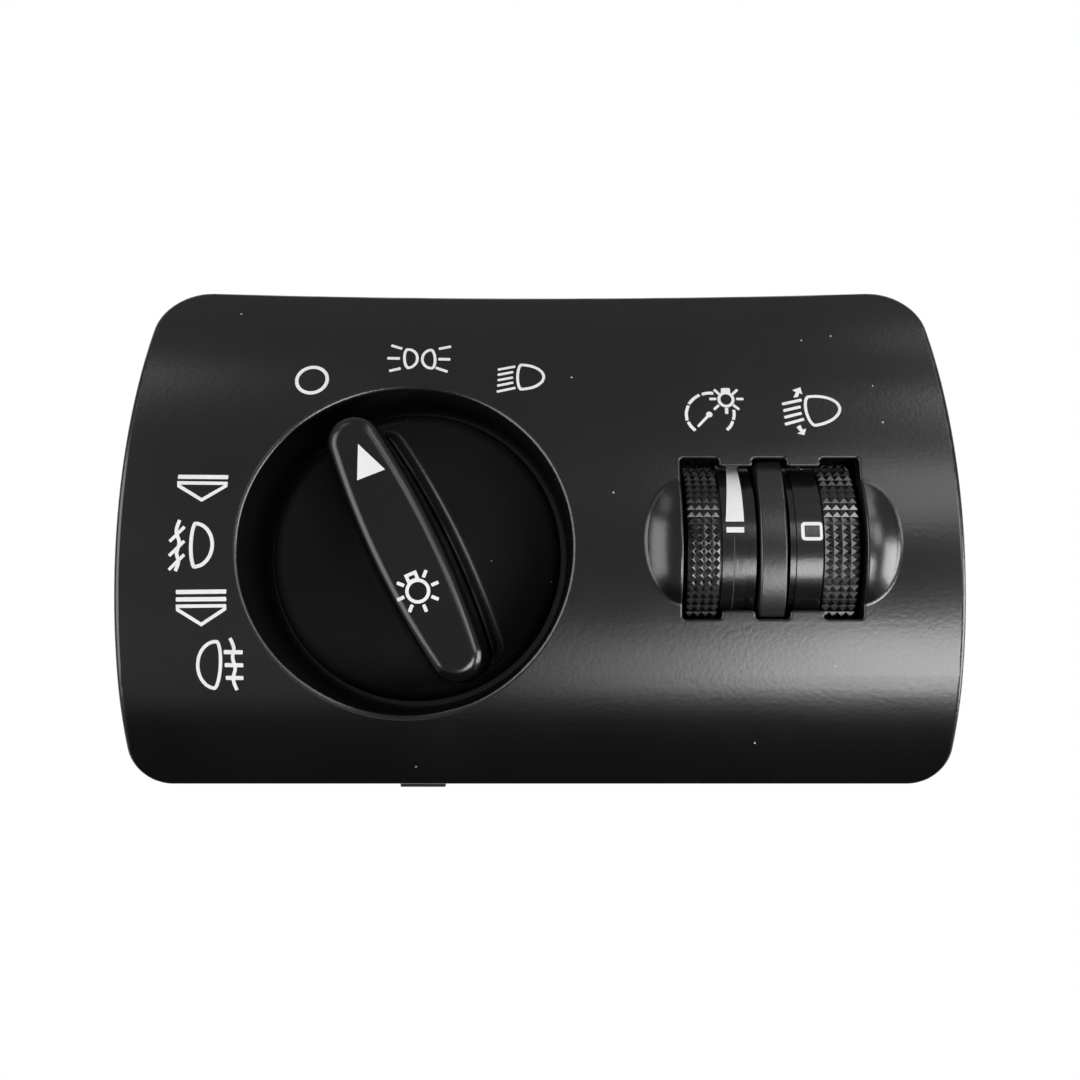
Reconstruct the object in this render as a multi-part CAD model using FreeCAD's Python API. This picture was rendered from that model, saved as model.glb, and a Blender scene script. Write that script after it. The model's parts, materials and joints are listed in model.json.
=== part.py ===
import FreeCAD, Part
import math
import os

# Dashboard headlight switch: a curved panel with a pull-and-turn knob and two thumbwheels.
# X runs to the right, Z up, and the panel faces -Y. The origin is the middle of the plane
# that the panel's rear rim rests on. Sizes are millimetres.
V = FreeCAD.Vector

# Panel outline
face_width = 125.8
side_radius = 525.0
widest_z = -10.3
top_mid_z = 38.1
top_radius = 1400.0
bottom_z = -39.1
top_corner = 8.0
bottom_corner = 6.0

# Places and widths across the panel, as shares of its width
knob_share = -0.159
wheels_share = 0.27266
dome_share = 0.1685
screw_share = 0.423
housing_share = 0.3975
flange_share = 0.4531
corner_share = 0.35

# Panel skin and its curved front
face_depth = 27.0
face_radius = 72.0
nearest_z = -4.85
roll_radius = 45.0
roll_z = -22.45
wall = 2.2
edge_round = 0.9

# Knob bowl
knob_z = -3.55
bowl_radius = 24.7
bowl_draft = 0.4
bowl_wall = 1.8
bowl_depth = 23.0
bowl_floor = 1.8
bowl_lip = 0.7

# Thumbwheel group
wheel_depth = 12.9
wheel_z = -3.05
wheel_radius = 14.4
knurl_depth = 0.45
knurl_rows = 76
knurl_columns = 4
knurl_width = 5.1
band_width = 4.1
band_step = 0.35
wheel_flange = 0.9
dimmer_band = 3.75
dimmer_flange = 1.6
flange_step = 0.7
rim_radius = 11.6
web_thickness = 2.4
web_offset = 6.4
hub_radius = 4.2
bridge_width = 4.0
bridge_radius = 20.0
bridge_tip = 0.35
bridge_gap = 0.5
axle_radius = 2.0

# Thumbwheel window, half widths and edge heights
window_half = 13.35
window_step = 7.55
window_mid = 2.55
window_top = 9.95
window_bottom = -14.05
window_tab = 1.25
window_corner = 0.5
window_lip = 0.35
window_pocket = 12.0

# Domes beside the window, which carry the wheels' round shape on into the panel
dome_rise = 1.0
dome_round = 8.4
dome_foot = 1.2

# Knob dial and grip
dial_gap = 1.3
dial_depth = 18.0
dial_crown = 0.6
dial_edge = 1.8
dial_clearance = 0.8
off_angle = -26.2
detent_angle = 29.0
grip_rise = 0.6
grip_margin = 1.9
grip_half_width = 5.4
grip_end = 4.1
grip_draft = 0.3
grip_round = 2.1
slot_depth = 3.4
slot_gap = 0.3
collar = 0.3
collar_flare = 1.9
collar_corner = 1.2
edge_gap = 0.05

# Spindle and rotor
spindle_radius = 6.0
spindle_flat = 4.8
spindle_flange = 8.0
spindle_flange_depth = 2.0
tail_radius = 3.5
tail_length = 6.2
rotor_neck = 8.5
rotor_radius = 13.0
rotor_depth = 6.0
fit = 0.05
running_gap = 0.3
notch_radius = 3.0
notch_depth = 0.6
roller_radius = 1.8
leaf = 0.5
leaf_half_length = 13.0
lug_spacing = 12.0
lug_width = 4.0
end_play = 0.5

# Pull slider
pull_travel = 7.0
slider_half_width = 20.0
slider_height = 10.0
slider_depth = 4.0
guide_spacing = 16.5
guide_radius = 1.8
post_radius = 3.0
groove_depth = 0.7
groove_width = 0.8
clip_rim = 2.2

# Housing, board and cover
housing_top = 27.0
housing_bottom = -31.0
housing_corner = 4.0
housing_wall = 2.0
housing_depth = 34.2
flange_top = 31.0
flange_bottom = -36.2
board_depth = 28.2
board = 1.6
board_gap = 0.5
cover = 2.2
rib_width = 1.2
rib_height = 1.5
rib_pitch = 8.0
ribs = 4

# Contact base, printed tracks and their springy contacts
base_plate = 1.5
base_half_height = 15.0
base_margin = 4.0
base_corner = 3.0
base_gap = 2.4
strip = 0.4
track_print = 0.3
track_edge = 0.8
finger_width = 1.6
finger_reach = 1.2
pull_contact_spacing = 5.0
pull_contact_width = 2.0
pull_contact_rise = 0.8
pull_track_half = 8.0
pull_track_thickness = 1.2

# Connector
connector_x = 14.0
connector_z = -6.0
socket_width = 34.0
socket_height = 12.0
socket_wall = 1.6
socket_depth = 14.0
blade_columns = 8
blade_pitch = 3.8
blade_row_gap = 5.0
blade_width = 2.4
blade_thickness = 0.8
blade_clearance = 0.15
mouth_depth = 6.0

# Screws
screw_radius = 1.3
screw_head = 2.6
screw_head_depth = 1.8
screw_top_z = 22.0
screw_bottom_z = -26.0
screw_length = 9.0
corner_top_z = 21.0
corner_bottom_z = -25.0

# Latch under the panel's lower edge
latch_x = -18.5
latch_width = 7.0
latch_front = -11.6
latch_back = -8.6
latch_reach = 1.1
latch_arm = 1.5
latch_gap = 0.3

# Side springs
spring_width = 12.0
spring_bow = 4.4
spring_start = 4.0
spring_end = 30.0
spring_foot = 3.0
spring_thickness = 0.6

# Wheel carrier
cheek = 2.0
cheek_gap = 1.1
carrier_plate = 2.0
carrier_side = 1.8
carrier_half_height = 19.0
carrier_open = 12.0
boss_radius = 5.0
track_radius = 6.5
track_depth = 3.4

# Places across the panel
knob_x = knob_share * face_width
wheels_x = wheels_share * face_width
dome_half = dome_share * face_width
screw_x = screw_share * face_width
housing_half_width = housing_share * face_width
flange_half_width = flange_share * face_width
corner_x = corner_share * face_width

# Knob sizes that follow the bowl
dial_radius = bowl_radius - dial_gap
grip_half_length = dial_radius - grip_margin

# Derived levels
bowl_floor_y = -face_depth + bowl_depth
housing_y = bowl_floor_y + bowl_floor
housing_rear = housing_y + housing_depth
board_y = housing_y + board_depth
dial_face_y = -face_depth + dial_depth
grip_top_y = -face_depth - grip_rise
wheel_y = -face_depth + wheel_depth
plate_rear = housing_y + housing_wall
dial_rear = bowl_floor_y - dial_clearance
dial_floor = dial_face_y - dial_crown + slot_depth
rotor_front = plate_rear + running_gap
rotor_rear = rotor_front + rotor_depth
base_y = rotor_rear + base_gap
base_rear = base_y + base_plate
slider_y = base_rear + pull_travel + 1.0
slider_rear = slider_y + slider_depth
spindle_shoulder = slider_y - 0.1
spindle_end = spindle_shoulder + tail_length
cover_rear = housing_rear + cover
socket_end = cover_rear + socket_depth
inner_half = bridge_width / 2 + bridge_gap
outer_half = inner_half + wheel_flange + band_width + knurl_width
cheek_inner = outer_half + cheek_gap
cheek_outer = cheek_inner + cheek
carrier_y = housing_y - carrier_plate
roller_z = knob_z + rotor_radius + running_gap + roller_radius
leaf_z = roller_z + roller_radius + fit


def box(x0, x1, y0, y1, z0, z1):
    return Part.makeBox(x1 - x0, y1 - y0, z1 - z0, V(x0, y0, z0))


def cylinder_y(x, z, radius, y0, y1):
    return Part.makeCylinder(radius, y1 - y0, V(x, y0, z), V(0, 1, 0))


def cylinder_x(y, z, radius, x0, x1):
    return Part.makeCylinder(radius, x1 - x0, V(x0, y, z), V(1, 0, 0))


def tube_y(x, z, outer, inner, y0, y1):
    return cylinder_y(x, z, outer, y0, y1).cut(cylinder_y(x, z, inner, y0, y1))


def prism(points, run):
    return Part.Face(Part.makePolygon(points + [points[0]])).extrude(run)


def arc(a, b, c):
    return Part.Arc(a, b, c).toShape()


def line(a, b):
    return Part.makeLine(a, b)


def edges_along(shape, direction):
    found = []
    for edge in shape.Edges:
        if not isinstance(edge.Curve, Part.Line):
            continue
        if abs(edge.Curve.Direction.dot(direction)) > 0.9999:
            found.append(edge)
    return found


# True where the whole edge keeps one distance from an axis along Y
def on_circle(edge, x, z, radius, slack):
    for k in range(5):
        share = k / 4
        spot = edge.valueAt(edge.FirstParameter + share * (edge.LastParameter - edge.FirstParameter))
        if abs(math.hypot(spot.x - x, spot.z - z) - radius) > slack:
            return False
    return True


def rounded_box(x0, x1, y0, y1, z0, z1, radius):
    block = box(x0, x1, y0, y1, z0, z1)
    return block.makeFillet(radius, edges_along(block, V(0, 1, 0)))


def save(shape, name):
    solid = shape.removeSplitter()
    solid.exportStep("parts/" + name + ".step")


# Panel outline as a block, drawn inwards by the inset
def panel_block(inset, y0, y1):
    half = face_width / 2 - inset
    side = side_radius - inset
    top = top_radius + inset
    low = bottom_z + inset

    def side_x(z):
        return half - side + math.sqrt(side ** 2 - (z - widest_z) ** 2)

    corner_z = top_mid_z - inset
    for step in range(6):
        corner_z = top_mid_z - inset + top - math.sqrt(top ** 2 - side_x(corner_z) ** 2)
    xt = side_x(corner_z)
    xb = side_x(low)
    edges = [
        arc(V(-xt, y0, corner_z), V(0, y0, top_mid_z - inset), V(xt, y0, corner_z)),
        arc(V(xt, y0, corner_z), V(half, y0, widest_z), V(xb, y0, low)),
        line(V(xb, y0, low), V(-xb, y0, low)),
        arc(V(-xb, y0, low), V(-half, y0, widest_z), V(-xt, y0, corner_z)),
    ]
    block = Part.Face(Part.Wire(edges)).extrude(V(0, y1 - y0, 0))
    upper = [e for e in edges_along(block, V(0, 1, 0)) if e.Vertexes[0].Point.z > 0]
    block = block.makeFillet(top_corner - inset, upper)
    lower = [e for e in edges_along(block, V(0, 1, 0)) if e.Vertexes[0].Point.z < low + 0.01]
    return block.makeFillet(bottom_corner - inset, lower)


# Everything behind the curved front, set back by the inset
def front_block(inset):
    far = face_width
    high = 45.0
    center_y = face_radius - face_depth
    lean = math.asin((nearest_z - roll_z) / face_radius)
    joint = V(-far, center_y - face_radius * math.cos(lean), roll_z)
    roll_y = joint.y + roll_radius * math.cos(lean)
    roll_center_z = roll_z + roll_radius * math.sin(lean)
    big = face_radius - inset
    small = roll_radius - inset

    def big_point(z):
        return V(-far, center_y - math.sqrt(big ** 2 - (z - nearest_z) ** 2), z)

    def small_point(z):
        return V(-far, roll_y - math.sqrt(small ** 2 - (z - roll_center_z) ** 2), z)

    joint = V(-far, center_y - big * math.cos(lean), nearest_z - big * math.sin(lean))
    top = big_point(high)
    low = small_point(-high)
    edges = [
        arc(top, big_point(nearest_z), joint),
        arc(joint, small_point((joint.z - high) / 2), low),
        line(low, V(-far, face_depth, -high)),
        line(V(-far, face_depth, -high), V(-far, face_depth, high)),
        line(V(-far, face_depth, high), top),
    ]
    return Part.Face(Part.Wire(edges)).extrude(V(2 * far, 0, 0))


# Barrel with rounded ends round the wheels' axis, of which the window leaves the two domes
def barrel(inset):
    radius = wheel_radius + dome_rise - inset
    half = dome_half - inset
    body = cylinder_x(wheel_y, wheel_z, radius, wheels_x - half, wheels_x + half)
    rims = [e for e in body.Edges if isinstance(e.Curve, Part.Circle)]
    body = body.makeFillet(dome_round - inset, rims)
    return body.common(box(wheels_x - half, wheels_x + half, wheel_y - radius, wheel_y,
                           wheel_z - radius, wheel_z + radius))


# Window with two shallow stretches between three tall ones
def window_tool(y0, y1):
    low = window_bottom + window_tab
    high = window_top - window_tab
    tool = box(wheels_x - window_half, wheels_x + window_half, y0, y1, low, high)
    stretches = [(-window_half, -window_step), (-window_mid, window_mid), (window_step, window_half)]
    for left, right in stretches:
        tool = tool.fuse(box(wheels_x + left, wheels_x + right, y0, y1, window_bottom, window_top))
    tool = tool.removeSplitter()
    return tool.makeFillet(window_corner, edges_along(tool, V(0, 1, 0)))


def make_panel():
    body = panel_block(0, -face_depth - 5, 0).common(front_block(0))
    rim = []
    for edge in body.Edges:
        spot = edge.BoundBox
        across = spot.ZLength < 0.01 and abs(spot.ZMin - roll_z) < 0.5
        upright = spot.XLength < 0.01 and spot.ZLength < 0.01
        if spot.YMax < -0.1 and not across and not upright:
            rim.append(edge)
    body = body.makeFillet(edge_round, rim)

    bowl = Part.makeCone(bowl_radius, bowl_radius - bowl_draft, bowl_depth,
                         V(knob_x, -face_depth, knob_z), V(0, 1, 0))
    body = body.cut(bowl)
    lip = []
    for edge in body.Edges:
        if on_circle(edge, knob_x, knob_z, bowl_radius, 0.5) and edge.BoundBox.YMax < bowl_floor_y - 1:
            lip.append(edge)
    body = body.makeFillet(bowl_lip, lip)
    body = body.cut(cylinder_y(knob_x, knob_z, rotor_neck + 0.5, bowl_floor_y - 1, 0))

    body = body.fuse(barrel(0))
    foot = []
    for edge in body.Edges:
        spot = edge.BoundBox
        beside = abs(spot.Center.x - wheels_x) < dome_half and abs(spot.Center.z - wheel_z) < wheel_radius
        if beside and spot.YMin > -face_depth - 0.05 and spot.YMax < -face_depth + 3:
            foot.append(edge)
    body = body.makeFillet(dome_foot, foot)
    pocket = -face_depth + window_pocket
    body = body.cut(window_tool(-2 * face_depth, pocket))
    lip = []
    for edge in body.Edges:
        spot = edge.BoundBox
        inside = abs(spot.Center.z - wheel_z) < wheel_radius
        level = spot.YMax < pocket - 0.1
        upright = spot.YLength > 5
        edge_on = spot.XMax < wheels_x + window_half + 0.1 and spot.XMin > wheels_x - window_half - 0.1
        if inside and level and edge_on and not upright:
            lip.append(edge)
    body = body.makeFillet(window_lip, lip)

    hollow = panel_block(wall, -face_depth - 5, 1).common(front_block(wall))
    hollow = hollow.cut(cylinder_y(knob_x, knob_z, bowl_radius + bowl_wall, -face_depth, housing_y))
    hollow = hollow.fuse(barrel(wall))
    for x in (-screw_x, screw_x):
        for z in (screw_bottom_z, screw_top_z):
            hollow = hollow.cut(cylinder_y(x, z, post_radius, -face_depth, housing_y))
    body = body.cut(hollow)
    for x in (-screw_x, screw_x):
        for z in (screw_bottom_z, screw_top_z):
            hole = cylinder_y(x, z, screw_radius + fit, housing_y - screw_length, housing_y)
            body = body.cut(hole)
    slot = box(latch_x - latch_width / 2 - latch_gap, latch_x + latch_width / 2 + latch_gap,
               latch_front - latch_gap, latch_back + latch_gap, bottom_z - 1, bottom_z + wall + 1)
    return body.cut(slot)


# Long outline with bowed sides that run smoothly into round ends
def grip_wire(half_length, half_width, end, y):
    middle = half_length - end
    side = (half_width ** 2 + middle ** 2 - end ** 2) / (2 * (half_width - end))
    lean = math.asin(middle / (side - end))
    x = half_width - side + side * math.cos(lean)
    z = side * math.sin(lean)
    edges = [
        arc(V(x, y, z), V(half_width, y, 0), V(x, y, -z)),
        arc(V(x, y, -z), V(0, y, -half_length), V(-x, y, -z)),
        arc(V(-x, y, -z), V(-half_width, y, 0), V(-x, y, z)),
        arc(V(-x, y, z), V(0, y, half_length), V(x, y, z)),
    ]
    return Part.Wire(edges)


# The grip's own outline, grown all round
def grip_outline(grow, y):
    return grip_wire(grip_half_length + grow, grip_half_width + grow, grip_end + grow, y)


# The knob's parts are drawn upright on the Y axis and then turned to the off position
def place_knob(shape):
    shape.rotate(V(0, 0, 0), V(0, 1, 0), off_angle)
    shape.translate(V(knob_x, 0, knob_z))
    return shape


# Dial with a collar that sweeps up to the grip's foot on both sides
def make_dial():
    front = dial_face_y - dial_crown
    rolled = dial_radius - dial_edge
    roll = dial_edge * math.sin(math.radians(45))
    edges = [
        line(V(0, dial_rear, 0), V(0, front, 0)),
        arc(V(0, front, 0), V(rolled / 2, front + dial_crown * 0.25, 0), V(rolled, dial_face_y, 0)),
        arc(V(rolled, dial_face_y, 0),
            V(rolled + roll, dial_face_y + dial_edge - roll, 0),
            V(dial_radius, dial_face_y + dial_edge, 0)),
        line(V(dial_radius, dial_face_y + dial_edge, 0), V(dial_radius, dial_rear, 0)),
        line(V(dial_radius, dial_rear, 0), V(0, dial_rear, 0)),
    ]
    disc = Part.Face(Part.Wire(edges)).revolve(V(0, 0, 0), V(0, 1, 0), 360)
    reach = rolled - collar_flare - 2 * edge_gap
    raised = front - collar_flare - edge_gap
    ring = Part.Face(grip_outline(grip_draft + slot_gap + collar, raised))
    ring = ring.extrude(V(0, dial_face_y + dial_edge - raised, 0))
    ring = ring.common(cylinder_y(0, 0, reach, raised, dial_face_y + dial_edge))
    ring = ring.makeFillet(collar_corner, edges_along(ring, V(0, 1, 0)))
    disc = disc.fuse(ring)
    foot = []
    for edge in disc.Edges:
        spot = edge.BoundBox
        level = spot.YMin > front - edge_gap and spot.YMax < dial_face_y + edge_gap
        within = max(spot.XMax, spot.ZMax, -spot.ZMin) < reach + edge_gap
        if level and within:
            foot.append(edge)
    disc = disc.makeFillet(collar_flare, foot)
    slot = Part.Face(grip_outline(grip_draft + slot_gap, -face_depth))
    return place_knob(disc.cut(slot.extrude(V(0, face_depth + dial_floor, 0))))


def make_grip():
    foot = grip_outline(grip_draft, dial_floor)
    crest = grip_outline(0, grip_top_y)
    blade = Part.makeLoft([foot, crest], True, True)
    top = [e for e in blade.Edges if e.BoundBox.YMax < grip_top_y + 0.05]
    blade = blade.makeFillet(grip_round, top)
    return place_knob(blade)


def double_flat(grow, y0, y1):
    rod = cylinder_y(0, 0, spindle_radius + grow, y0, y1)
    flat = spindle_flat + grow
    return rod.common(box(-flat, flat, y0, y1, -spindle_radius - 1, spindle_radius + 1))


def make_spindle():
    rod = double_flat(0, dial_rear, spindle_shoulder)
    rod = rod.fuse(cylinder_y(0, 0, spindle_flange, dial_rear, dial_rear + spindle_flange_depth))
    rod = rod.fuse(cylinder_y(0, 0, tail_radius, spindle_shoulder, spindle_end))
    start = slider_rear + fit
    groove = tube_y(0, 0, tail_radius + 1, tail_radius - groove_depth, start, start + groove_width)
    return place_knob(rod.cut(groove))


def make_clip():
    start = slider_rear + 2 * fit
    end = slider_rear + groove_width
    ring = tube_y(0, 0, tail_radius + clip_rim, tail_radius - groove_depth + fit, start, end)
    mouth = box(-clip_rim, clip_rim, slider_rear, end + 1, -tail_radius - clip_rim - 1, 0)
    return place_knob(ring.cut(mouth))


def make_rotor():
    body = cylinder_y(0, 0, rotor_neck, housing_y, rotor_front)
    body = body.fuse(cylinder_y(0, 0, rotor_radius, rotor_front, rotor_rear))
    body = body.cut(double_flat(fit, housing_y - 1, rotor_rear + 1))
    reach = rotor_radius - notch_depth + notch_radius
    for stop in range(3):
        turn = math.radians(-off_angle - stop * detent_angle)
        notch = cylinder_y(reach * math.sin(turn), reach * math.cos(turn), notch_radius,
                           rotor_front - 1, rotor_rear + 1)
        body = body.cut(notch)
    return place_knob(body)


def make_rotor_contacts():
    ring = tube_y(0, 0, rotor_radius - track_edge, rotor_neck, rotor_rear, rotor_rear + strip)
    radius = (rotor_radius - track_edge + rotor_neck) / 2
    tip = base_y - track_print - running_gap
    for third in range(3):
        finger = box(-finger_width / 2, finger_width / 2, rotor_rear, tip,
                     radius - finger_reach, radius + finger_reach)
        finger.rotate(V(0, 0, 0), V(0, 1, 0), 120 * third)
        ring = ring.fuse(finger)
    return place_knob(ring)


def make_contact_base():
    half = guide_spacing + base_margin
    plate = rounded_box(knob_x - half, knob_x + half, base_y, base_rear,
                        knob_z - base_half_height, knob_z + base_half_height, base_corner)
    plate = plate.cut(cylinder_y(knob_x, knob_z, spindle_radius + 2 * running_gap, base_y, base_rear))
    for side in (-1, 1):
        hole = cylinder_y(knob_x + side * guide_spacing, knob_z, guide_radius + fit, base_y, base_rear)
        plate = plate.cut(hole)
    return plate


def make_contact_tracks():
    ring = tube_y(knob_x, knob_z, rotor_radius - track_edge, rotor_neck, base_y - track_print, base_y)
    gap = box(knob_x - 1, knob_x + 1, base_y - 1, base_y + 1, knob_z, knob_z + rotor_radius + 2)
    for third in range(3):
        slit = gap.copy()
        slit.rotate(V(knob_x, 0, knob_z), V(0, 1, 0), off_angle + 60 + 120 * third)
        ring = ring.cut(slit)
    return ring


def make_slider():
    bar = rounded_box(knob_x - slider_half_width, knob_x + slider_half_width, slider_y, slider_rear,
                      knob_z - slider_height / 2, knob_z + slider_height / 2, 2)
    bar = bar.cut(cylinder_y(knob_x, knob_z, tail_radius + fit, slider_y, slider_rear))
    for side in (-1, 1):
        hole = cylinder_y(knob_x + side * guide_spacing, knob_z, guide_radius + fit, slider_y, slider_rear)
        bar = bar.cut(hole)
    return bar


def make_slider_contacts():
    low = knob_z - slider_height / 2
    shapes = []
    for side in (-1, 1):
        x = knob_x + side * pull_contact_spacing - pull_contact_width / 2
        tip = low - pull_contact_rise
        profile = [V(x, slider_y + 0.5, low), V(x, slider_rear - 0.5, low),
                   V(x, slider_rear - 1.5, tip), V(x, slider_y + 1.5, tip)]
        shapes.append(prism(profile, V(pull_contact_width, 0, 0)))
    return Part.makeCompound(shapes)


def make_pull_track():
    top = knob_z - slider_height / 2 - pull_contact_rise - running_gap
    return box(knob_x - pull_track_half, knob_x + pull_track_half, base_rear + end_play, board_y,
               top - pull_track_thickness, top)


def make_detent_roller():
    return cylinder_y(knob_x, roller_z, roller_radius, rotor_front + end_play, rotor_rear - end_play)


def make_detent_leaf():
    front = rotor_front + end_play
    rear = rotor_rear - end_play
    spring = box(knob_x - leaf_half_length, knob_x + leaf_half_length, front, rear, leaf_z, leaf_z + leaf)
    for side in (-1, 1):
        x = knob_x + side * (roller_radius + running_gap + leaf / 2)
        ear = box(x - leaf / 2, x + leaf / 2, front, rear, roller_z - leaf, leaf_z + leaf)
        spring = spring.fuse(ear)
    return spring


def make_housing():
    body = rounded_box(-housing_half_width, housing_half_width, housing_y, housing_rear,
                       housing_bottom, housing_top, housing_corner)
    flange = rounded_box(-flange_half_width, flange_half_width, housing_y, plate_rear,
                         flange_bottom, flange_top, 6)
    hollow = rounded_box(-housing_half_width + housing_wall, housing_half_width - housing_wall,
                         plate_rear, housing_rear, housing_bottom + housing_wall,
                         housing_top - housing_wall, housing_corner - housing_wall)
    body = body.fuse(flange).cut(hollow)
    for x in (-corner_x, corner_x):
        for z in (corner_bottom_z, corner_top_z):
            body = body.fuse(cylinder_y(x, z, post_radius, plate_rear, board_y))
            body = body.cut(cylinder_y(x, z, screw_radius + fit, board_y - screw_length, board_y))
    for side in (-1, 1):
        x = knob_x + side * guide_spacing
        body = body.fuse(cylinder_y(x, knob_z, post_radius, plate_rear, base_y))
        body = body.fuse(cylinder_y(x, knob_z, guide_radius, base_y, spindle_end))
        x = knob_x + side * lug_spacing
        body = body.fuse(box(x - lug_width / 2, x + lug_width / 2, plate_rear, rotor_rear,
                             leaf_z + leaf, housing_top - housing_wall / 2))
    body = body.cut(cylinder_y(knob_x, knob_z, rotor_neck + fit, housing_y, plate_rear))
    wheel_back = wheel_y + wheel_radius + cheek_gap
    body = body.cut(box(wheels_x - cheek_inner, wheels_x + cheek_inner, housing_y, wheel_back,
                        wheel_z - carrier_open, wheel_z + carrier_open))
    for x in (-screw_x, screw_x):
        for z in (screw_bottom_z, screw_top_z):
            body = body.cut(cylinder_y(x, z, screw_radius + 0.3, housing_y, plate_rear))
    return body.fuse(make_latch())


# Sprung arm that reaches forward inside the skirt, with its nose through the skirt's slot
def make_latch():
    left = latch_x - latch_width / 2
    inner = bottom_z + wall + latch_gap
    arm = box(left, left + latch_width, latch_front, plate_rear, inner, inner + latch_arm)
    tip = bottom_z - latch_reach
    nose = prism([V(left, latch_front, inner), V(left, latch_front, bottom_z),
                  V(left, latch_front + 0.8, tip), V(left, latch_back, tip),
                  V(left, latch_back, inner)], V(latch_width, 0, 0))
    return arm.fuse(nose)


def make_board():
    inset = housing_wall + board_gap
    plate = rounded_box(-housing_half_width + inset, housing_half_width - inset, board_y, board_y + board,
                        housing_bottom + inset, housing_top - inset, housing_corner - housing_wall)
    for x in (-corner_x, corner_x):
        for z in (corner_bottom_z, corner_top_z):
            plate = plate.cut(cylinder_y(x, z, screw_radius + 0.2, board_y, board_y + board))
    return plate.cut(blade_set(blade_clearance / 2, board_y, board_y + board))


def blade_set(grow, y0, y1):
    blades = []
    for row in (-0.5, 0.5):
        for column in range(blade_columns):
            x = connector_x + (column - (blade_columns - 1) / 2) * blade_pitch
            z = connector_z + row * blade_row_gap
            blades.append(box(x - blade_width / 2 - grow, x + blade_width / 2 + grow, y0, y1,
                              z - blade_thickness / 2 - grow, z + blade_thickness / 2 + grow))
    return Part.makeCompound(blades)


def make_blades():
    return blade_set(0, board_y - 1, socket_end - mouth_depth)


def make_cover():
    plate = rounded_box(-housing_half_width, housing_half_width, housing_rear, cover_rear,
                        housing_bottom, housing_top, housing_corner)
    half_x = socket_width / 2
    half_z = socket_height / 2
    shroud = rounded_box(connector_x - half_x - socket_wall, connector_x + half_x + socket_wall,
                         housing_rear, socket_end, connector_z - half_z - socket_wall,
                         connector_z + half_z + socket_wall, 2)
    plate = plate.fuse(shroud)
    plate = plate.cut(rounded_box(connector_x - half_x, connector_x + half_x, cover_rear, socket_end,
                                  connector_z - half_z, connector_z + half_z, 0.8))
    plate = plate.cut(blade_set(blade_clearance, housing_rear, cover_rear))
    for rib in range(ribs):
        x = -corner_x + post_radius + rib_pitch * (rib + 0.5)
        plate = plate.fuse(box(x, x + rib_width, cover_rear, cover_rear + rib_height,
                               corner_bottom_z + post_radius, corner_top_z - post_radius))
    for x in (-corner_x, corner_x):
        for z in (corner_bottom_z, corner_top_z):
            plate = plate.fuse(cylinder_y(x, z, post_radius, board_y + board, housing_rear))
            plate = plate.cut(cylinder_y(x, z, screw_radius + 0.2, board_y + board, cover_rear))
    ramp = prism([V(connector_x - 4, socket_end - 5, connector_z + half_z + socket_wall),
                  V(connector_x - 4, socket_end - 5, connector_z + half_z + socket_wall + 1.4),
                  V(connector_x - 4, socket_end - 1, connector_z + half_z + socket_wall)], V(8, 0, 0))
    return plate.fuse(ramp)


def screw(x, z, seat, length):
    shank = cylinder_y(x, z, screw_radius, seat - length, seat)
    head = cylinder_y(x, z, screw_head, seat, seat + screw_head_depth)
    rim = [e for e in head.Edges if e.BoundBox.YMin > seat + screw_head_depth - 0.01]
    head = head.makeFillet(0.6, rim)
    cross = box(x - 1.6, x + 1.6, seat + 0.9, seat + 2, z - 0.35, z + 0.35)
    cross = cross.fuse(box(x - 0.35, x + 0.35, seat + 0.9, seat + 2, z - 1.6, z + 1.6))
    return shank.fuse(head).cut(cross)


def make_panel_screws():
    screws = []
    for x in (-screw_x, screw_x):
        for z in (screw_bottom_z, screw_top_z):
            screws.append(screw(x, z, plate_rear, screw_length))
    return Part.makeCompound(screws)


def make_cover_screws():
    length = cover_rear - board_y + screw_length - 1
    screws = []
    for x in (-corner_x, corner_x):
        for z in (corner_bottom_z, corner_top_z):
            screws.append(screw(x, z, cover_rear, length))
    return Part.makeCompound(screws)


def make_side_springs():
    mid = (spring_start + spring_end) / 2
    inner = housing_half_width
    outer = inner + spring_thickness
    low = (housing_top + housing_bottom) / 2 - spring_width / 2
    springs = []
    for side in (-1, 1):
        def spot(x, y):
            return V(side * x, y, low)
        first = spring_start + spring_foot
        last = spring_end - spring_foot
        edges = [
            line(spot(inner, spring_start), spot(outer, spring_start)),
            line(spot(outer, spring_start), spot(outer, first)),
            arc(spot(outer, first), spot(outer + spring_bow, mid), spot(outer, last)),
            line(spot(outer, last), spot(outer, spring_end)),
            line(spot(outer, spring_end), spot(inner, spring_end)),
            line(spot(inner, spring_end), spot(inner, last)),
            arc(spot(inner, last), spot(inner + spring_bow, mid), spot(inner, first)),
            line(spot(inner, first), spot(inner, spring_start)),
        ]
        springs.append(Part.Face(Part.Wire(edges)).extrude(V(0, 0, spring_width)))
    return Part.makeCompound(springs)


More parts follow.
